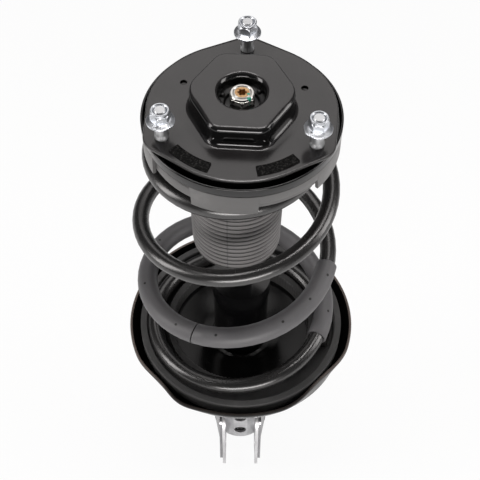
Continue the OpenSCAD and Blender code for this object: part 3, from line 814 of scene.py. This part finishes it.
def makeBootRubber():
    # fine mould texture, painted shade in the grooves of the folds with the crests painted lighter, and a
    # vertical mould seam
    finish = Finish("bootRubber", Sheen_Weight=0.1)
    x, y, z = finish.axis("X"), finish.axis("Y"), finish.axis("Z")
    out = ((x - boot["offset"] * mm) ** 2 + y ** 2) ** 0.5
    down = (boot["top"] * mm - z) / ((boot["top"] - boot["foot"]) * mm)
    full = boot["radius"][0] * mm - down * ((boot["radius"][0] - boot["radius"][1]) * mm)
    # mask that is 1 on the crests of the folds; the grooves get painted shade
    crestLitGrooveShaded = finish.step(out - full, -0.0016, -0.0003)
    fine = finish.noise(1200, 4, 0.7)
    cloud = finish.noise(40, 5, 0.65)
    fromSeam = finish.node("ShaderNodeMath", {"operation": "ABSOLUTE"}, {0: x + boot["seamLeft"] * mm})
    seam = finish.step(fromSeam, 0.0003, 0.0007, 1, 0)
    # painted shade: near black in the grooves, lighter on the crests
    tone = finish.mix(crestLitGrooveShaded * (0.7 + cloud * 0.3), (0.006, 0.006, 0.006), (0.135, 0.13, 0.129))
    tone = finish.mix(finish.step(fine, 0.6, 0.8) * 0.3, tone, (0.18, 0.175, 0.17))
    tone = finish.mix(seam * 0.6, tone, (0.02, 0.02, 0.02))
    return finish.paint(tone, 0.46 + (cloud - 0.5) * 0.25, None, fine + cloud - seam, 0.25, 0.0003)


def buildBoot():
    b = boot
    outer = []
    per = b["pointsPerFold"]
    total = b["folds"] * per
    for i in range(total + 1):
        phase = (i % per) / per
        bulge = 1 - abs(2 * phase - 1) ** 3.2
        z = b["top"] + (b["foot"] - b["top"]) * i / total
        radius = b["radius"][0] + (b["radius"][1] - b["radius"][0]) * i / total
        outer.append((radius - b["depth"] * (1 - bulge), z))
    low = b["radius"][1]
    cuff = [(low - 0.4, b["foot"] - 0.8), (low - 1.2, b["foot"] - 2.0), (low - 3.2, b["foot"] - 2.2)]
    inner = [(r - b["wall"] - 0.6, z) for r, z in reversed(outer)]
    piece = turned("dustBoot", outer + cuff + inner, 128)
    piece.data.transform(Matrix.Translation((b["offset"] * mm, 0, 0)))
    return smoothed(piece, 60)


finished(buildBoot(), makeBootRubber(), "swivel", "boot_rubber", "dust_boot")
print("dust boot made")

# coil spring and its sleeve

coil = {
    "wire": 7.25, "top": -37.95, "deadLead": 14, "lead": 89, "open": (0.55, 1.1), "close": (3.2, 4.05),
    "turns": 4.3,
    "radiusTop": 65, "radius": 83, "offset": (-4.5, -1.5), "meanRadius": 80, "perTurn": 56, "sides": 28,
    "sleeveOuter": 9.25, "sleeveInner": 7.5, "sleeveTurns": (2.286, 2.5704, 2.5724, 3.3214),
}


def rampArea(n, a, b):
    return 0 if n < a else n - (a + b) / 2 if n > b else (n - a) ** 2 / (b - a) / 2


def coilHeight(n):
    c = coil
    return (c["top"] - c["deadLead"] * n - (c["lead"] - c["deadLead"]) * rampArea(n, *c["open"])
            + c["lead"] * rampArea(n, *c["close"]))


def coilRing(n, radius):
    c = coil
    turn = math.radians(90 - 360 * n)
    out = c["radiusTop"] + (c["radius"] - c["radiusTop"]) * eased((n - 0.35) / 1.25)
    side = c["offset"][0] + (c["offset"][1] - c["offset"][0]) * eased((n - 2.6) / 1.2)
    around = np.arange(c["sides"]) * 2 * math.pi / c["sides"]
    reach = out + radius * np.cos(around)
    height = coilHeight(n) + radius * np.sin(around)
    return np.stack([side + reach * math.cos(turn), reach * math.sin(turn), height], axis=1)


def wireLength(n):
    return n * 2 * math.pi * coil["meanRadius"]


def tagWire(piece, turns, radii):
    # keeps, for each vertex, where it is round the wire and along it, and how far down the spring
    points, spot, share = [], [], []
    low = coilHeight(coil["turns"])
    for n, radius in zip(turns, radii):
        for i, point in enumerate(coilRing(n, radius)):
            turn = 2 * math.pi * i / coil["sides"]
            points.append(Vector(point) * mm)
            spot.append((radius * math.cos(turn), radius * math.sin(turn), wireLength(n)))
            share.append((coilHeight(n) - coil["top"]) / (low - coil["top"]))
    tree = KDTree(len(points))
    for i, point in enumerate(points):
        tree.insert(point, i)
    tree.balance()
    nearest = [tree.find(vertex.co)[1] for vertex in piece.data.vertices]
    spotOf = piece.data.attributes.new("wireSpot", "FLOAT_VECTOR", "POINT")
    spotOf.data.foreach_set("vector", np.array([spot[i] for i in nearest], np.float32).ravel())
    return np.array([share[i] for i in nearest], np.float32)


def ridesCoil(piece):
    # bakes the piece's placement into its mesh
    coilHeight(coil["turns"]) * mm
    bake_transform(piece)


def buildWire():
    count = int(coil["turns"] * coil["perTurn"])
    turns = [coil["turns"] * i / count for i in range(count + 1)]
    turns = [turns[0], turns[0] + 0.0006] + turns[1:-1] + [turns[-1] - 0.0006, turns[-1]]
    radii = [coil["wire"] - 0.5] + [coil["wire"]] * (len(turns) - 2) + [coil["wire"] - 0.5]
    piece = lofted("coilSpring", [coilRing(n, r) for n, r in zip(turns, radii)])
    return smoothed(piece, 40), tagWire(piece, turns, radii)


def buildSleeve(name, first, last):
    count = int((last - first) * coil["perTurn"])
    turns = [first + (last - first) * i / count for i in range(count + 1)]
    lip = 0.0009  # turns taken up by the rounded ends
    full = coil["sleeveOuter"]
    outer = [(first, full - 0.4), (first + lip, full)] + [(n, full) for n in turns[1:-1]]
    outer += [(last - lip, full), (last, full - 0.4)]
    inner = [(n, coil["sleeveInner"]) for n in reversed(turns)]
    both = outer + inner
    piece = lofted(name, [coilRing(n, r) for n, r in both], around=True)
    return smoothed(piece, 40), tagWire(piece, [n for n, r in both], [r for n, r in both])


def makeWirePaint():
    # satin black powder coat, smooth with a faint waviness along the wire
    finish = Finish("springPaint", Specular_IOR_Level=0.95)
    spot = finish.node("ShaderNodeAttribute", {"attribute_name": "wireSpot"}, None, "Vector")
    wave = finish.noise(0.09, 4, 0.6, where=spot)
    fine = finish.noise(2.2, 3, 0.6, where=spot)
    scuff = finish.step(finish.noise(0.35, 6, 0.75, where=spot), 0.6, 0.75)
    tone = finish.mix(wave, (0.011, 0.0106, 0.0104), (0.014, 0.0135, 0.0133))
    tone = finish.mix(scuff * 0.03, tone, (0.2, 0.19, 0.18))
    return finish.paint(tone, 0.27 + (wave - 0.5) * 0.03, None, fine, 0.015, 0.0001)


# small holes in the sleeves: turns down the spring, degrees round the wire
vents = (
    (2.716, 72), (2.604, 64), (2.532, 70), (2.422, 66), (2.364, 72), (2.312, 60), (3.276, 60), (2.828, 86),
    (2.93, 70), (3.06, 60),
)


def makeSleevePlastic():
    # extruded split tube: fine lengthwise drawing lines, small vent holes
    finish = Finish("sleevePlastic")
    spot = finish.node("ShaderNodeAttribute", {"attribute_name": "wireSpot"}, None, "Vector")
    cloud = finish.noise(0.06, 5, 0.65, where=spot)
    lines = finish.noise(0.9, 3, 0.6, where=spot, stretch=(1, 1, 0.04))
    holes = None
    for n, a in vents:
        across, up = coil["sleeveOuter"] * direction(a)
        centre = (across, up, wireLength(n))
        gap = finish.node("ShaderNodeVectorMath", {"operation": "DISTANCE"}, {0: spot, 1: centre}, "Value")
        hole = finish.step(gap, 1.0, 1.4, 1, 0)
        holes = hole if holes is None else holes.atLeast(hole)
    dust = finish.step(finish.noise(0.3, 6, 0.75, where=spot), 0.55, 0.75)
    tone = finish.mix(cloud, (0.078, 0.077, 0.08), (0.11, 0.108, 0.113))
    tone = finish.mix(dust * 0.2, tone, (0.2, 0.2, 0.2))
    tone = finish.mix(holes, tone, (0.004, 0.004, 0.004))
    return finish.paint(tone, 0.5 + (cloud - 0.5) * 0.2, None, lines + cloud - holes * 3, 0.25, 0.0004)


wire, wireShare = buildWire()
wirePaint = makeWirePaint()
wire.data.materials.append(wirePaint)
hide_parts("coil_spring")
ridesCoil(wire)
sleevePlastic = makeSleevePlastic()
sleeves = (
    ("sleeveUpper", "spring_sleeve_upper", *coil["sleeveTurns"][:2]),
    ("sleeveLower", "spring_sleeve_lower", *coil["sleeveTurns"][2:]),
)
for name, node, first, last in sleeves:
    sleeve, share = buildSleeve(name, first, last)
    sleeve.data.materials.append(sleevePlastic)
    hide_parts(node)
    ridesCoil(sleeve)
print("spring made:", len(wire.data.polygons), "faces")

# lower spring seat and its rubber

pan = {
    "radius": 109.5, "rim": -294, "floor": -312, "thickness": 2.6, "foot": 101, "track": 64,
    "hub": (28.6, -322, -342), "tube": 26, "points": 360,
    # by how much the rim swells out, about which angle, over how many degrees to each side
    "swells": ((-6.5, -43, 26), (-3.5, 223, 20), (2, 238, 16), (-1.2, 270, 40)),
}


def panRadius(angles):
    def swell(centre, half):
        gap = np.abs((angles - centre + 540) % 360 - 180)
        return np.where(gap > half, 0, (1 + np.cos(np.pi * gap / half)) / 2)
    return pan["radius"] + sum(amount * swell(centre, half) for amount, centre, half in pan["swells"])


def buildPan():
    angles = np.arange(pan["points"]) * 360 / pan["points"]
    rim = panRadius(angles)
    t, top, floor, track = pan["thickness"], pan["rim"], pan["floor"], pan["track"]
    hub, hubTop, hubFoot = pan["hub"]
    bore = pan["tube"] + 0.02
    rings = [(bore, hubFoot), (bore, hubTop + 1.2), (hub, hubTop + 0.6), (hub + 2, hubTop + 0.4)]
    rings += [(hub + (track - hub) * k, hubTop + (floor - hubTop) * k) for k in (0.3, 0.6, 0.9)]
    foot = np.minimum(pan["foot"], rim - 1.6)
    rings += [(track + 1, floor), (track + 8, floor), (foot - 7, floor)]
    rings += [(foot - 3.4, floor + 0.5), (foot - 1.0, floor + 2.0)]
    rings += [(foot - t + (rim - foot) * 0.55, floor + 9)]
    rings += [(rim - t, top - 1.3), (rim - t + 0.3, top - 0.4), (rim - t / 2, top), (rim - 0.3, top - 0.4),
              (rim, top - 1.3)]
    rings += [(rim, top - 3), (foot + (rim - foot) * 0.55, floor + 7), (foot + 0.6, floor - 0.4),
              (foot - 0.6, floor - t + 0.8), (foot - 3, floor - t)]
    rings += [(track + 8, floor - t), (track + 1, floor - t)]
    rings += [(hub + (track - hub) * k, hubTop - t + (floor - hubTop) * k) for k in (0.9, 0.6, 0.3)]
    rings += [(hub + 2.6, hubTop - t - 0.4), (hub + 0.6, hubTop - t - 1.6), (hub, hubTop - t - 4),
              (hub, hubFoot)]
    return smoothed(lofted("lowerSpringSeat", [polarRing(r, z, angles) for r, z in rings], around=True), 40)


def makePanPaint():
    # gloss black, with a brownish grey line along the rim's edge, fainter at the front
    finish = Finish("panPaint", Specular_IOR_Level=0.2)
    z = finish.axis("Z")
    cloud = finish.noise(30, 5, 0.6)
    fine = finish.noise(800, 3, 0.6)
    edge = finish.step(z + (finish.noise(220, 5, 0.7) - 0.5) * 0.0012, pan["rim"] * mm - 0.0011,
                       pan["rim"] * mm - 0.0003)
    edge = edge * finish.step(finish.axis("Y"), -0.092, -0.05, 0.15, 1)
    scuff = finish.step(finish.noise(70, 6, 0.75), 0.6, 0.78)
    tone = finish.mix(cloud, (0.0018, 0.0018, 0.002), (0.004, 0.004, 0.004))
    tone = finish.mix(scuff * 0.12, tone, (0.25, 0.24, 0.23))
    tone = finish.mix(edge * 0.8, tone, (0.15, 0.125, 0.112))
    return finish.paint(tone, 0.17 + (cloud - 0.5) * 0.1 + edge * 0.15, None, fine + cloud * 1.5, 0.08,
                        0.0002)


def buildBead(name, radius, height, size, lumps):
    # a weld bead round the tube, with the ripples of its puddles
    ringCount = lumps * 6
    rings = []
    for i in range(ringCount):
        a = 2 * math.pi * i / ringCount
        s = size * (1 + 0.12 * math.sin(a * lumps))
        ring = []
        for k in range(10):
            b = 2 * math.pi * k / 10
            reach = radius + s * math.cos(b)
            ring.append((reach * math.cos(a), reach * math.sin(a), height + s * math.sin(b)))
        rings.append(ring)
    return lofted(name, rings, around=True)


panPiece = joined("lowerSpringSeat", [buildPan(), smoothed(buildBead("seatWeld", 27.6, -342.2, 2.0, 44), 60)])
finished(panPiece, makePanPaint(), "tube", "black_paint", "lower_spring_seat")


lowerRubber = {"ribs": 120, "ribDepth": 0.6}


def buildLowerRubber():
    angles = np.arange(720) * 0.5
    ribs = 0.5 * (1 + np.sign(np.sin(np.radians(angles * lowerRubber["ribs"])))) * lowerRubber["ribDepth"]
    rings = [(66, -311.9), (97, -311.9), (98.9, -306), (99, -293.8), (98.4, -293.1), (93.2, -293.1),
             (92.4, -293.9), (92.4, -306)]
    rings += [(91, -308.2), (88, -308.6), (78, -308.6), (75, -308.2), (73.6, -306), (73.6 - ribs, -299),
              (72.8 - ribs, -298)]
    rings += [(66.8 + ribs, -298), (66 + ribs, -298.8), (66, -306)]
    piece = lofted("lowerInsulator", [polarRing(r, z, angles) for r, z in rings], around=True)
    return smoothed(piece, 35)


finished(buildLowerRubber(), finishes["seatRubber"], "tube", "insulator_rubber", "lower_insulator")
print("lower seat made")

# damper body and brackets

bracketEdge = 0.45
brackets = (
    ("clevisWrap", "clevis_wrap", "wrap", "bracket_metal"),
    ("clevisLiner", "clevis_liner", "liner", "bracket_metal"),
    ("stabiliserBracket", "stabiliser_bracket", "bracketPaint", "black_paint"),
    ("hoseBracket", "hose_bracket", "bracketPaint", "black_paint"),
)
for name, node, coat, slot in brackets:
    finished(smoothed(edged(copied(name, node), bracketEdge, 2, 40), 35), finishes[coat], "tube", slot, node)

# pieces that keep their CAD shape
coats = {
    "mount_lower_plate": "plate", "mount_bush": "steel", "rod_washer": "washer", "rebound_stop": "seal",
    "piston": "iron", "piston_band": "band", "piston_nut": "steel", "bearing_upper_race": "bearing",
    "bearing_balls": "bearing", "bearing_cage": "cage", "bearing_lower_race": "bearing",
    "bearing_seal": "seal", "bump_stop": "bumpFoam", "boot_collar": "boot", "strut_tube": "gloss",
    "base_cup": "gloss", "tube_cap": "gloss", "rod_guide": "iron", "guide_bush": "brass",
    "oil_seal": "seal", "pressure_tube": "steel", "base_valve": "iron",
}
for node, coat in coats.items():
    recoat(node, finishes[coat])
print("damper and brackets coated")
